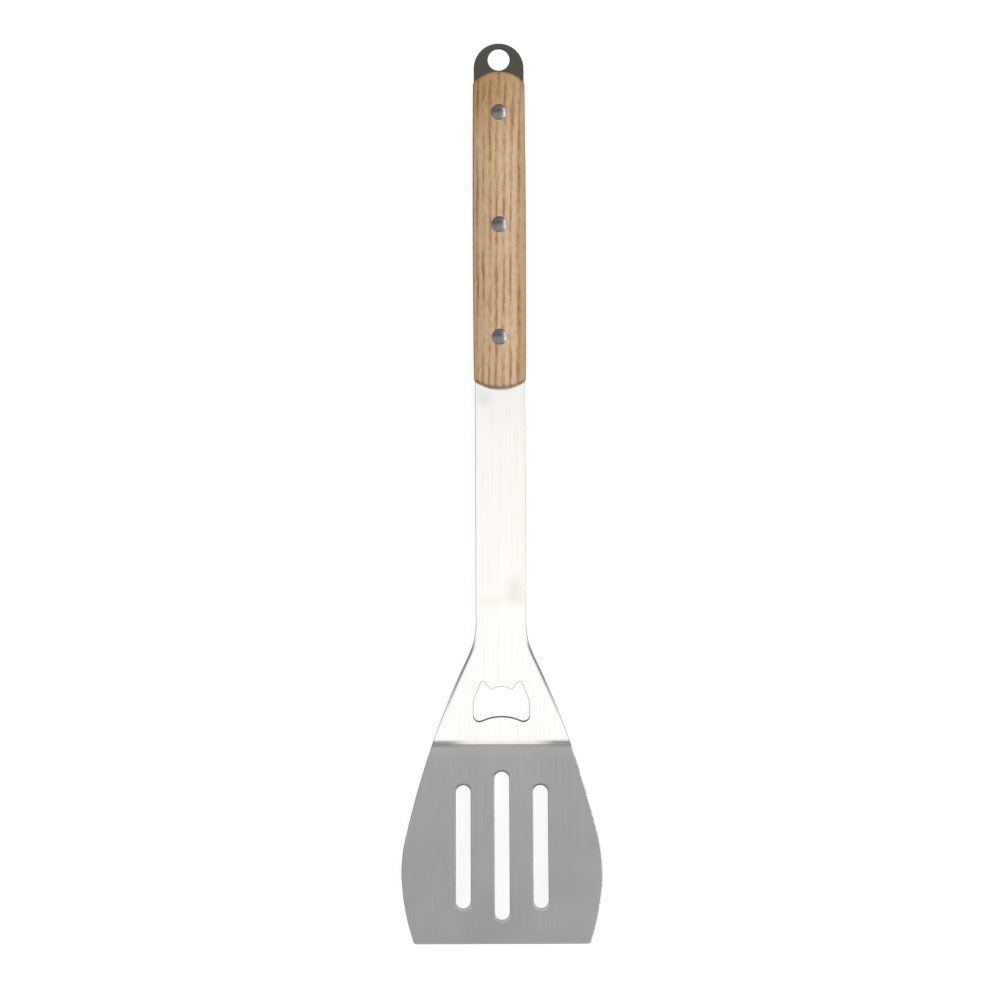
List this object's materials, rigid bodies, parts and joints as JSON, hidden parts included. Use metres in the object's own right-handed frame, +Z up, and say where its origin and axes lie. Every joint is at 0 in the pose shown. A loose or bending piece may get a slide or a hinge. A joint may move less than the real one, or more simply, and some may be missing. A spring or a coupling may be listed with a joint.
{
  "type": "grill spatula",
  "caption": "Long-handled slotted grill spatula: bent stainless sheet with drain slots, a bottle opener in the neck, riveted wooden handle scales and a hanging hole.",
  "frame": {"origin": "under the middle of the bounding box, on the table the spatula lies on", "axes": "+X across the blade, +Y along the spatula from blade to butt, +Z up through the face that carries food"},
  "size_m": [0.1004, 0.4492, 0.0255],
  "materials": {
    "steel": "satin, brushed along its length, edges tumbled",
    "wood": "lightly oiled ash, grain along the handle",
    "rivet": "polished"
  },
  "bodies": {
    "root": {"blade_and_tang": "steel", "front_scale": "wood", "back_scale": "wood", "rivet_socket_1": "rivet", "rivet_pin_1": "rivet", "rivet_socket_2": "rivet", "rivet_pin_2": "rivet", "rivet_socket_3": "rivet", "rivet_pin_3": "rivet"}
  },
  "joints": []
}
